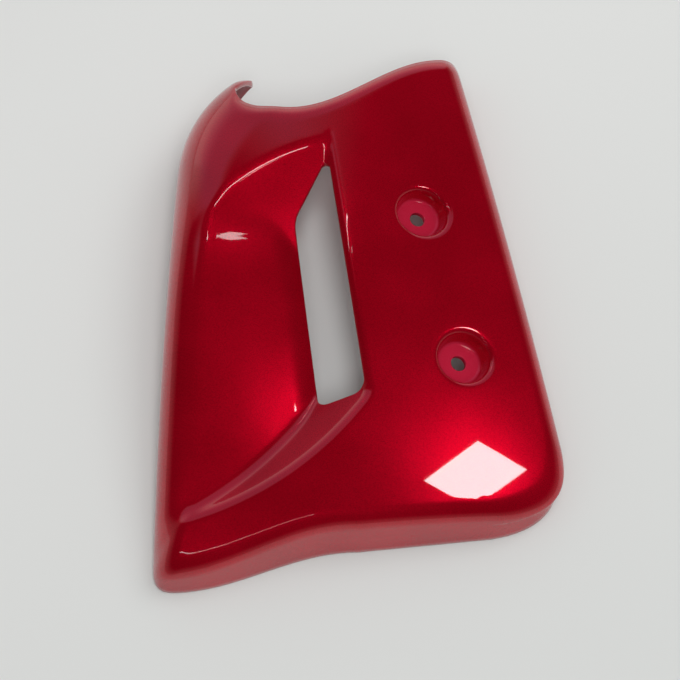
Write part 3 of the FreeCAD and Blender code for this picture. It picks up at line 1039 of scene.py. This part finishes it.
    def cup_rows(self, floor: Array, side: Side) -> list[Array]:
        """Rings of points from the skin round a cup down its wall to where the bowl begins.

        Args:
            floor: centre of the cup's floor.
            side: which face of the wall.

        Returns:
            The rings, the first of them on the skin.
        """
        form, cups, inset = self.form, self.cups, self.form.inset(side)
        across, along, out = cups.axes()
        angle = np.linspace(0.0, 2 * np.pi, cups.sides, endpoint=False)
        spokes = np.cos(angle)[:, None] * across + np.sin(angle)[:, None] * along
        painted = side is Side.PAINTED
        blend = cups.mouth_round if painted else cups.bare_mouth_round
        foot = cups.painted_height if painted else cups.bare_height

        def ring(level: Array, height: Array, spread: float = 0.0) -> Array:
            """Points at a height above the floor, as far out as the wall is at a level, and a spread."""
            radius = cups.floor_radius + inset + cups.flare * level + spread
            return floor + spokes * radius[:, None] + out * height[:, None]

        def fall(spot: Array) -> Array:
            """Part of the way from points down to the skin."""
            return cups.settle_share * (spot[:, 2] - form.skin(spot[:, 0], spot[:, 1], inset))

        mouth = np.full(angle.shape, cups.depth)
        skirt = mouth.copy()
        for _ in range(cups.settle_rounds):
            mouth = mouth - fall(ring(mouth, mouth))
            skirt = skirt - fall(ring(mouth, skirt, blend))
        begin, top = ring(mouth, skirt, blend), mouth - blend
        rows = [begin] + bezier(begin, ring(mouth, mouth), ring(top, top), cups.mouth_steps)
        for share in (0.5, 1.0):
            height = top + (foot - top) * share
            rows.append(ring(height, height))
        return rows

    def fill_points(self, border: Array, holes: Sequence[Array], inset: float, coarser: float) -> Array:
        """Scatters plan points over the middle of the panel, closer together where the skin bends.

        Args:
            border: closed loop round the area.
            holes: closed loops to stay out of.
            inset: 0 for the painted face, the wall's thickness for the underside.
            coarser: factor on the spacing.

        Returns:
            Plan points.
        """
        rims = np.concatenate([border, *holes])
        low, high = border.min(axis=0), border.max(axis=0)
        found: list[Array] = []
        for fine, step in ((True, self.fine_step * coarser), (False, self.plain_step * coarser)):
            rows = np.arange(low[1], high[1], step * math.sqrt(0.75))
            columns = np.arange(low[0], high[0], step)
            x = columns[None, :] + (np.arange(len(rows)) % 2)[:, None] * step / 2
            spots = np.stack([x, np.broadcast_to(rows[:, None], x.shape)], axis=2).reshape(-1, 2)
            spots = spots[(self.bend(spots, inset) > self.fine_bend) == fine]
            spots = spots[inside_loop(border, spots)]
            for hole in holes:
                spots = spots[~inside_loop(hole, spots)]
            spots = spots[nearest_gap(spots, rims) > self.rim_gap * step]
            if found:
                spots = spots[nearest_gap(spots, found[0]) > self.grid_gap * step]
            found.append(spots)
        return np.concatenate(found)

    def bend(self, spots: Array, inset: float) -> Array:
        """Greatest second derivative of the skin at plan points, from heights 1 mm apart.

        Args:
            spots: plan points.
            inset: 0 for the painted face, the wall's thickness for the underside.

        Returns:
            One value for each point.
        """
        (x, y), skin = spots.T, self.form.skin
        here = 2 * skin(x, y, inset)
        across = skin(x + 1.0, y, inset) + skin(x - 1.0, y, inset) - here
        along = skin(x, y + 1.0, inset) + skin(x, y - 1.0, inset) - here
        return np.maximum(np.abs(across), np.abs(along))

    def fill(self, mesh: ShellMesh, border: Array, holes: Sequence[Array], side: Side) -> None:
        """Closes the middle of one face of the wall with triangles.

        Args:
            mesh: mesh that already has the loops' points.
            border: numbers of the outer loop's points.
            holes: numbers of the loops round the slot and the cups.
            side: which face of the wall.
        """
        painted, inset = side is Side.PAINTED, self.form.inset(side)
        known = mesh.points()
        loops = [known[loop][:, :2] for loop in (border, *holes)]
        extra = self.fill_points(loops[0], loops[1:], inset, 1.0 if painted else self.under_coarsening)
        plan = np.concatenate([*loops, extra])
        numbers = np.concatenate([border, *holes, mesh.add(self.form.lift(extra, inset))])
        edges: list[tuple[int, int]] = []
        for loop in loops:
            start, size = len(edges), len(loop)
            edges += [(start + i, start + (i + 1) % size) for i in range(size)]
        result = geometry.delaunay_2d_cdt([Vector(p) for p in plan.tolist()], edges, [], 1, 1e-7)
        spots = np.array([tuple(v) for v in result[0]])
        origin = np.array([old[0] if old else -1 for old in result[3]])
        faces = np.array([tuple(f) for f in result[2]])
        middle = spots[faces].mean(axis=1)
        kept = inside_loop(loops[0], middle)
        for loop in loops[1:]:
            kept &= ~inside_loop(loop, middle)
        faces = faces[kept]
        a, b, c = (spots[faces[:, k]] for k in range(3))
        area = (b[:, 0] - a[:, 0]) * (c[:, 1] - a[:, 1]) - (b[:, 1] - a[:, 1]) * (c[:, 0] - a[:, 0])
        faces[area < 0] = faces[area < 0][:, ::-1]
        for face in numbers[origin[faces]]:
            mesh.face(face, side, flip=not painted)

    def cap(self, mesh: ShellMesh, loops: dict[Side, Array], ways: Array, flip: bool) -> None:
        """Rounds the edge between the two faces of the wall.

        Args:
            mesh: mesh that has both loops' points.
            loops: numbers of each face's loop.
            ways: unit directions in which the edge bulges.
            flip: whether the strip turns the other way.
        """
        known = mesh.points()
        first, last = known[loops[Side.PAINTED]], known[loops[Side.UNDERSIDE]]
        before = loops[Side.PAINTED]
        for row in range(1, self.cap_rows):
            turn = math.pi * row / self.cap_rows
            across = (last - first) * ((1 - math.cos(turn)) / 2)
            after = mesh.add(first + across + ways * (self.edge_round * math.sin(turn)))
            mesh.strip(before, after, Side.PAINTED, flip, closed=True)
            before = after
        mesh.strip(before, loops[Side.UNDERSIDE], Side.PAINTED, flip, closed=True)

    def rim_bulge(self, ribs: int, rise: int, edge: Array) -> Array:
        """Directions in which the rim's edge bulges, smoothed where they change.

        Args:
            ribs: how many points lie along the rim.
            rise: how many points lie up the wall's end at the far right, and down it at the horn.
            edge: plan points of the far edge.

        Returns:
            Unit vectors: down, to the far end, out of the far edge, and out from under the horn.
        """
        turn = math.radians(self.form.shoulder_turn)
        step = np.gradient(np.concatenate([edge, [self.horn()[0]]]), axis=0)[:-1]
        out = np.column_stack([step[:, 1], -step[:, 0], np.zeros(len(step))])
        out /= np.linalg.norm(out, axis=1)[:, None]
        down = np.tile((0.0, 0.0, -1.0), (ribs, 1))
        ahead = np.tile((0.0, 1.0, 0.0), (rise, 1))
        under = np.tile((math.sin(turn), math.cos(turn), -self.form.horn_slant), (rise, 1))
        bulge = np.concatenate([down, ahead, out, under])
        near = sum(np.roll(bulge, k, axis=0) for k in (-2, -1, 0, 1, 2))
        return near / np.linalg.norm(near, axis=1)[:, None]

    def build(self) -> ShellMesh:
        """Builds the shell in millimetres, closed but for the cups' bowls.

        Returns:
            The mesh, in the panel's own frame.
        """
        form = self.form
        mesh = ShellMesh()
        starts, ways, depths = self.ribs()
        slot, slot_ways = self.slot_loop()
        rims: dict[Side, Array] = {}
        slots: dict[Side, Array] = {}
        edge_plan = np.empty((0, 2))
        rise = 0
        for side in Side:
            inset, flip = form.inset(side), side is Side.UNDERSIDE
            rows = self.ring_rows(starts, ways, depths, side)
            ring = mesh.add(rows)
            for lower, upper in zip(ring, ring[1:]):
                mesh.strip(lower, upper, side, flip)
            if side is Side.PAINTED:
                edge_plan, rise = self.far_edge(rows[-1, -1, :2]), len(ring) - 1
            edge = mesh.add(form.lift(edge_plan, inset))
            slots[side] = mesh.add(form.lift(slot, inset))
            mouths: list[Array] = []
            for floor in self.cups.floors(form):
                rings = [mesh.add(row) for row in self.cup_rows(floor, side)]
                for a, b in zip(rings, rings[1:]):
                    mesh.strip(a, b, side, flip, closed=True)
                mouths.append(rings[0])
            self.fill(mesh, np.concatenate([ring[-1], edge]), [slots[side], *mouths], side)
            rims[side] = np.concatenate([ring[0], ring[1:, -1], edge, ring[:0:-1, 0]])
        self.cap(mesh, rims, self.rim_bulge(len(starts), rise, edge_plan), flip=True)
        self.cap(mesh, slots, np.column_stack([slot_ways, np.zeros(len(slot_ways))]), flip=False)
        return mesh

    @staticmethod
    def settle(points: Array, box: Sequence[Sequence[float]]) -> Array:
        """Draws the points in, by fractions of a millimetre, so that they stay inside the solid's box.

        Args:
            points: positions in metres.
            box: the solid's lowest and highest corners.

        Returns:
            The positions, moved along each axis only where they stood out.
        """
        low, high = points.min(axis=0), points.max(axis=0)
        new_low = np.maximum(low, np.array(box[0]))
        new_high = np.minimum(high, np.array(box[1]))
        return new_low + (points - low) * (new_high - new_low) / (high - low)

    def make(self, name: str, coats: Sequence[bpy.types.Material]) -> bpy.types.Object:
        """Makes the shell's object in the row's frame.

        Args:
            name: the piece's name.
            coats: materials in the order of Side.

        Returns:
            The new object, at the origin.
        """
        built = self.build()
        data = bpy.data.meshes.new(name)
        data.from_pydata((built.points() * METRE).tolist(), [], built.faces)
        for coat in coats:
            data.materials.append(coat)
        data.polygons.foreach_set("material_index", built.sides)
        piece = show(name, data)
        self.cups.fit(piece, self.form, coats)
        piece.data.name = name
        points = np.array([vertex.co for vertex in piece.data.vertices])
        # Share of dry spray and painted pale reflection on the cups' floors, read by the paint.
        dry_and_reflection = piece.data.attributes.new(DRY_SPRAY_AND_REFLECTION, "FLOAT", "POINT")
        dry_and_reflection.data.foreach_set("value", self.cups.dryness(points / METRE, self.form))
        points = points - np.array([*self.form.origin, 0.0]) * METRE
        points = self.settle(points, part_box("scoop_shell"))
        piece.data.vertices.foreach_set("co", points.ravel())
        piece.data.attributes.remove(piece.data.attributes[BARE])
        piece.data.update()
        return piece


def new_material(name: str) -> tuple[bpy.types.Material, NodeBench, bpy.types.Node]:
    """Makes a node material.

    Args:
        name: the material's name.

    Returns:
        The material, a bench for its tree and its Principled shader.
    """
    material = bpy.data.materials.new(name)
    material.use_nodes = True
    tree = material.node_tree
    shader = next(node for node in tree.nodes if node.type == "BSDF_PRINCIPLED")
    return material, NodeBench(tree), shader


@dataclass(frozen=True)
class Speckle:
    """Effect that both finishes share: fine random flecks and soft clouds over the surface."""

    name: str = "speckle"
    cloud_detail: float = 2.0

    def group(self) -> Tree:
        """Builds the shader node group, or hands out the one that is there.

        Returns:
            The group's tree.
        """
        known = bpy.data.node_groups.get(self.name)
        if known:
            return known
        tree = bpy.data.node_groups.new(self.name, "ShaderNodeTree")
        labels = {"INPUT": ("Fleck Size", "Cloud Size"), "OUTPUT": ("Fleck", "Cloud")}
        for way, names in labels.items():
            for label in names:
                tree.interface.new_socket(label, in_out=way, socket_type="NodeSocketFloat")
        bench = NodeBench(tree)
        size = bench.put("NodeGroupInput").outputs
        result = bench.put("NodeGroupOutput").inputs
        place = bench.put("ShaderNodeTexCoord").outputs["Object"]
        fine, wide = (bench.math("DIVIDE", 1.0, size[label]) for label in labels["INPUT"])
        cells = bench.join("ShaderNodeTexVoronoi", {"Vector": place, "Scale": fine}, "Color")
        bench.feed(result["Fleck"], bench.join("ShaderNodeSeparateColor", {"Color": cells}, "Red"))
        given = {"Vector": place, "Scale": wide, "Detail": self.cloud_detail}
        bench.feed(result["Cloud"], bench.join("ShaderNodeTexNoise", given, "Fac"))
        return tree

    def place(self, bench: NodeBench, fleck_size: float, cloud_size: float) -> tuple[Socket, Socket]:
        """Places the group in a material.

        Args:
            bench: the material's bench.
            fleck_size: width of a fleck in metres.
            cloud_size: width of a cloud in metres.

        Returns:
            The fleck and cloud values, both from 0 to 1.
        """
        node = bench.put("ShaderNodeGroup", node_tree=self.group())
        bench.feed(node.inputs["Fleck Size"], fleck_size)
        bench.feed(node.inputs["Cloud Size"], cloud_size)
        return node.outputs["Fleck"], node.outputs["Cloud"]


@dataclass(frozen=True)
class CandyPaint:
    """Deep red metallic paint under a glossy clear coat, with dry, dull spray and a painted pale reflection
    on the cups' floors.

    The pairs for metallic and coat run from the wet paint to the dry.
    """

    name: str = "candy_red_paint"
    deep: Colour = (0.420, 0.0003, 0.0110, 1.0)
    bright: Colour = (0.485, 0.0005, 0.0135, 1.0)
    flake: Colour = (0.62, 0.008, 0.026, 1.0)
    # Paler pink for the cups' floors: a painted reflection.
    dry_red: Colour = (0.56, 0.020, 0.060, 1.0)
    flake_size: float = 0.00018
    flake_span: Pair = (0.55, 1.0)
    flake_share: float = 0.16
    cloud_size: float = 0.028
    cloud_span: Pair = (0.3, 0.7)
    # How strongly the flecks on the cups' floors carry the painted pale reflection.
    powder: Pair = (0.55, 1.0)
    metallic: Pair = (0.55, 0.25)
    roughness: Pair = (0.26, 0.34)
    dry_roughness: float = 0.52
    coat: Pair = (1.0, 0.60)
    coat_roughness: float = 0.025
    coat_ior: float = 1.6
    flake_tilt: float = 0.05
    flake_depth: float = 0.00002

    def make(self) -> bpy.types.Material:
        """Builds the material.

        Returns:
            The new material.
        """
        material, bench, shader = new_material(self.name)
        whole = (0.0, 1.0)
        fleck, cloud = Speckle().place(bench, self.flake_size, self.cloud_size)
        dry_and_reflection = bench.put("ShaderNodeAttribute", attribute_name=DRY_SPRAY_AND_REFLECTION).outputs["Fac"]
        colour = bench.mix(bench.ramp(cloud, self.cloud_span, whole), self.deep, self.bright, "RGBA")
        glints = bench.ramp(fleck, self.flake_span, (0.0, self.flake_share))
        colour = bench.mix(glints, colour, self.flake, "RGBA")
        # The cups' floors take the painted pale reflection in flecks, and the duller finish of dry spray.
        powder = bench.math("MULTIPLY", dry_and_reflection, bench.ramp(fleck, whole, self.powder))
        bench.feed(shader.inputs["Base Color"], bench.mix(powder, colour, self.dry_red, "RGBA"))
        bench.feed(shader.inputs["Metallic"], bench.ramp(dry_and_reflection, whole, self.metallic))
        satin = bench.ramp(fleck, whole, self.roughness)
        bench.feed(shader.inputs["Roughness"], bench.mix(dry_and_reflection, satin, self.dry_roughness))
        bench.feed(shader.inputs["Coat Weight"], bench.ramp(dry_and_reflection, whole, self.coat))
        given = {"Height": fleck, "Strength": self.flake_tilt, "Distance": self.flake_depth}
        bench.feed(shader.inputs["Normal"], bench.join("ShaderNodeBump", given, "Normal"))
        shader.inputs["Specular IOR Level"].default_value = 0.0
        shader.inputs["Coat Roughness"].default_value = self.coat_roughness
        shader.inputs["Coat IOR"].default_value = self.coat_ior
        return material


@dataclass(frozen=True)
class MouldedUnderside:
    """Satin grained plastic of the underside, with a veil of red overspray."""

    name: str = "moulded_underside"
    plastic: Colour = (0.30, 0.022, 0.034, 1.0)
    overspray: Colour = (0.50, 0.020, 0.036, 1.0)
    grain_size: float = 0.0005
    cloud_size: float = 0.022
    cloud_span: Pair = (0.35, 0.65)
    cloud_veil: Pair = (0.25, 1.0)
    grain_span: Pair = (0.0, 0.6)
    grain_veil: Pair = (0.6, 1.0)
    roughness: Pair = (0.38, 0.56)
    grain_strength: float = 0.25
    grain_depth: float = 0.00004

    def make(self) -> bpy.types.Material:
        """Builds the material.

        Returns:
            The new material.
        """
        material, bench, shader = new_material(self.name)
        grain, cloud = Speckle().place(bench, self.grain_size, self.cloud_size)
        patches = bench.ramp(cloud, self.cloud_span, self.cloud_veil)
        veil = bench.math("MULTIPLY", patches, bench.ramp(grain, self.grain_span, self.grain_veil))
        bench.feed(shader.inputs["Base Color"], bench.mix(veil, self.plastic, self.overspray, "RGBA"))
        bench.feed(shader.inputs["Roughness"], bench.ramp(grain, (0.0, 1.0), self.roughness))
        given = {"Height": grain, "Strength": self.grain_strength, "Distance": self.grain_depth}
        bench.feed(shader.inputs["Normal"], bench.join("ShaderNodeBump", given, "Normal"))
        return material


def stage_quad(name: str, corners: Sequence[Triple], material: bpy.types.Material) -> bpy.types.Object:
    """Adds one four-sided face to the stage.

    Args:
        name: the object's name.
        corners: the face's corners in metres, in order.
        material: its material.

    Returns:
        The new object.
    """
    data = bpy.data.meshes.new(name)
    data.from_pydata(corners, [], [(0, 1, 2, 3)])
    data.materials.append(material)
    quad = show(name, data)
    return quad


@dataclass(frozen=True)
class ReflectionCard:
    """Glowing card that only the paint's gloss sees, in millimetres: its middle and two half sides.

    A pointed card is a rhombus, with the half sides as its half diagonals.
    """

    name: str
    middle: Triple
    half_side: Triple
    other_half_side: Triple
    strength: float
    pointed: bool = False

    def make(self) -> bpy.types.Object:
        """Builds the card as one glowing face of the stage.

        Returns:
            The new object.
        """
        given = (self.middle, self.half_side, self.other_half_side)
        middle, side, other = (np.array(vector) * METRE for vector in given)
        offsets = [-side - other, side - other, side + other, other - side]
        if self.pointed:
            offsets = [-side, -other, side, other]
        material, bench, _ = new_material(self.name)
        bench.tree.nodes.clear()
        glow = bench.join("ShaderNodeEmission", {"Strength": self.strength}, "Emission")
        bench.feed(bench.put("ShaderNodeOutputMaterial").inputs["Surface"], glow)
        card = stage_quad(self.name, [tuple(middle + offset) for offset in offsets], material)
        card.visible_camera = False
        card.visible_diffuse = False
        card.visible_shadow = False
        return card


@dataclass(frozen=True)
class SoftLamp:
    """Square soft lamp that faces the middle of the floor, in metres; the paint's gloss doesn't mirror it."""

    name: str
    place: Triple
    size: float
    power: float

    def make(self) -> bpy.types.Object:
        """Hangs the lamp.

        Returns:
            The new object.
        """
        data = bpy.data.lights.new(self.name, "AREA")
        data.size = self.size
        data.energy = self.power
        light = show(self.name, data)
        light.location = self.place
        light.rotation_euler = (-Vector(self.place)).to_track_quat("-Z", "Y").to_euler()
        light.visible_glossy = False
        return light


@dataclass(frozen=True)
class RoomLight:
    """Light of the room: plain for the floor, and by direction for what the gloss mirrors.

    The spans are of the height, or of the way past an edge of the far wall, of a unit direction.
    """

    plain: float = 0.40
    backdrop: float = 0.80
    ceiling: float = 0.006
    horizon: float = 0.26
    horizon_span: Pair = (0.0, 0.45)
    far_wall: float = 0.36
    far_wall_low: float = 0.85
    far_wall_rise: Pair = (0.05, 0.62)
    far_wall_top: Pair = (0.84, 0.93)
    far_wall_edges: Pair = (60.0, 150.0)
    edge_span: Pair = (-0.04, 0.10)
    neutral: Colour = (1.0, 0.99, 0.975, 1.0)
    daylight: Colour = (0.85, 0.75, 1.15, 1.0)

    def make(self) -> bpy.types.World:
        """Builds the world.

        Returns:
            The new world.
        """
        world = bpy.data.worlds.new("room")
        world.use_nodes = True
        bench = NodeBench(world.node_tree)
        ground = world.node_tree.nodes["Background"]
        way = bench.put("ShaderNodeTexCoord").outputs["Generated"]
        height = bench.join("ShaderNodeSeparateXYZ", {"Vector": way}, "Z")
        low = bench.ramp(height, self.horizon_span, (self.horizon, self.ceiling))
        share = bench.ramp(height, self.far_wall_top, (1.0, 0.0))
        for edge, sign in zip(self.far_wall_edges, (1.0, -1.0)):
            turn = math.radians(edge)
            inward = (-sign * math.sin(turn), sign * math.cos(turn), 0.0)
            past = bench.vector("DOT_PRODUCT", way, inward, "Value")
            share = bench.math("MULTIPLY", share, bench.ramp(past, self.edge_span, (0.0, 1.0)))
        rise = bench.ramp(height, self.far_wall_rise, (0.0, 1.0))
        wall = bench.math("MULTIPLY", share, bench.mix(rise, self.far_wall_low, self.far_wall))
        rays = bench.put("ShaderNodeLightPath").outputs
        shown = bench.mix(rays["Is Glossy Ray"], self.plain, bench.math("MAXIMUM", low, wall))
        bench.feed(ground.inputs["Strength"], bench.mix(rays["Is Camera Ray"], shown, self.backdrop))
        tinted = bench.math("MULTIPLY", bench.math("MULTIPLY", share, rise), rays["Is Glossy Ray"])
        bench.feed(ground.inputs["Color"], bench.mix(tinted, self.neutral, self.daylight, "RGBA"))
        return world


@dataclass(frozen=True)
class Studio:
    """Floor, lights, world and camera, in metres."""

    target: Triple = (-0.0080, -0.0211, 0.025)
    distance: float = 0.680
    elevation: float = 66.0
    lens: float = 80.0
    sensor: float = 36.0
    clip_start: float = 0.01
    floor_half: float = 6.0
    # Painted shade on the floor: its colour runs from the darker to the lighter along the slope, over the
    # span.
    floor_colours: tuple[Colour, Colour] = ((0.70, 0.715, 0.705, 1.0), (0.82, 0.83, 0.82, 1.0))
    floor_slope: Triple = (-0.55, 0.80, 0.0)
    floor_span: Pair = (-0.25, 0.25)
    floor_roughness: float = 0.6
    floor_specular: float = 0.1
    lamps: tuple[SoftLamp, ...] = (
        SoftLamp("window", (0.95, 0.45, 1.35), 0.9, 6.6),
        SoftLamp("overhead", (0.20, 0.08, 1.60), 0.5, 4.9),
        SoftLamp("front_fill", (0.05, -0.75, 1.25), 0.6, 4.6),
    )
    cards: tuple[ReflectionCard, ...] = (
        ReflectionCard("lamp_panel", (136.8, -44.7, 255.0), (28.9, 21.7, -9.6), (20.6, -5.6, -5.6), 14.0),
        ReflectionCard("crease_strip", (-24.5, 56.4, 119.6), (36.5, 11.5, -4.6), (0.0, 1.7, 0.0), 9.0),
        ReflectionCard(
            "vane_glint", (0.5, 54.4, 143.0), (13.0, 3.4, -3.6), (0.0, 1.7, 0.24), 6.0, pointed=True
        ),
        ReflectionCard("fold_strip", (-131.5, -175.1, 286.5), (121.5, -3.0, 28.5), (0.0, 2.5, 0.0), 7.0),
    )

    def camera(self) -> None:
        """Sets the camera at the photograph's angle."""
        data = bpy.data.cameras.new("camera")
        data.lens = self.lens
        data.sensor_width = self.sensor
        data.sensor_fit = "HORIZONTAL"
        data.clip_start = self.clip_start
        camera = show("camera", data)
        tilt = math.radians(self.elevation)
        back = Vector((0.0, -math.cos(tilt), math.sin(tilt)))
        camera.location = Vector(self.target) + back * self.distance
        camera.rotation_euler = (math.pi / 2 - tilt, 0.0, 0.0)
        bpy.context.scene.camera = camera

    def floor(self) -> None:
        """Lays the pale floor, its colour graded as painted shade: darker towards the front right, lighter
        towards the back left.
        """
        material, bench, shader = new_material("pale_floor")
        place = bench.put("ShaderNodeTexCoord").outputs["Object"]
        # Painted shade: the floor grows lighter towards the back left.
        along = bench.vector("DOT_PRODUCT", place, self.floor_slope, "Value")
        share = bench.ramp(along, self.floor_span, (0.0, 1.0))
        bench.feed(shader.inputs["Base Color"], bench.mix(share, *self.floor_colours, "RGBA"))
        shader.inputs["Roughness"].default_value = self.floor_roughness
        shader.inputs["Specular IOR Level"].default_value = self.floor_specular
        half = self.floor_half
        corners = [(-half, -half, 0.0), (half, -half, 0.0), (half, half, 0.0), (-half, half, 0.0)]
        stage_quad("floor", corners, material)

    def build(self) -> None:
        """Builds the whole studio."""
        bpy.context.scene.view_settings.view_transform = "Standard"
        self.camera()
        self.floor()
        for light in (*self.lamps, *self.cards):
            light.make()
        bpy.context.scene.world = RoomLight().make()


def main() -> None:
    """Builds the scoop and its studio."""
    logging.basicConfig(level=logging.INFO)
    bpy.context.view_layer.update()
    piece = ScoopShell().make("scoop_skin", [CandyPaint().make(), MouldedUnderside().make()])
    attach(piece, "root")
    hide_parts("scoop_shell")
    LOG.info("scoop_skin: %d faces", len(piece.data.polygons))
    Studio().build()


if __name__ == "__main__":
    main()
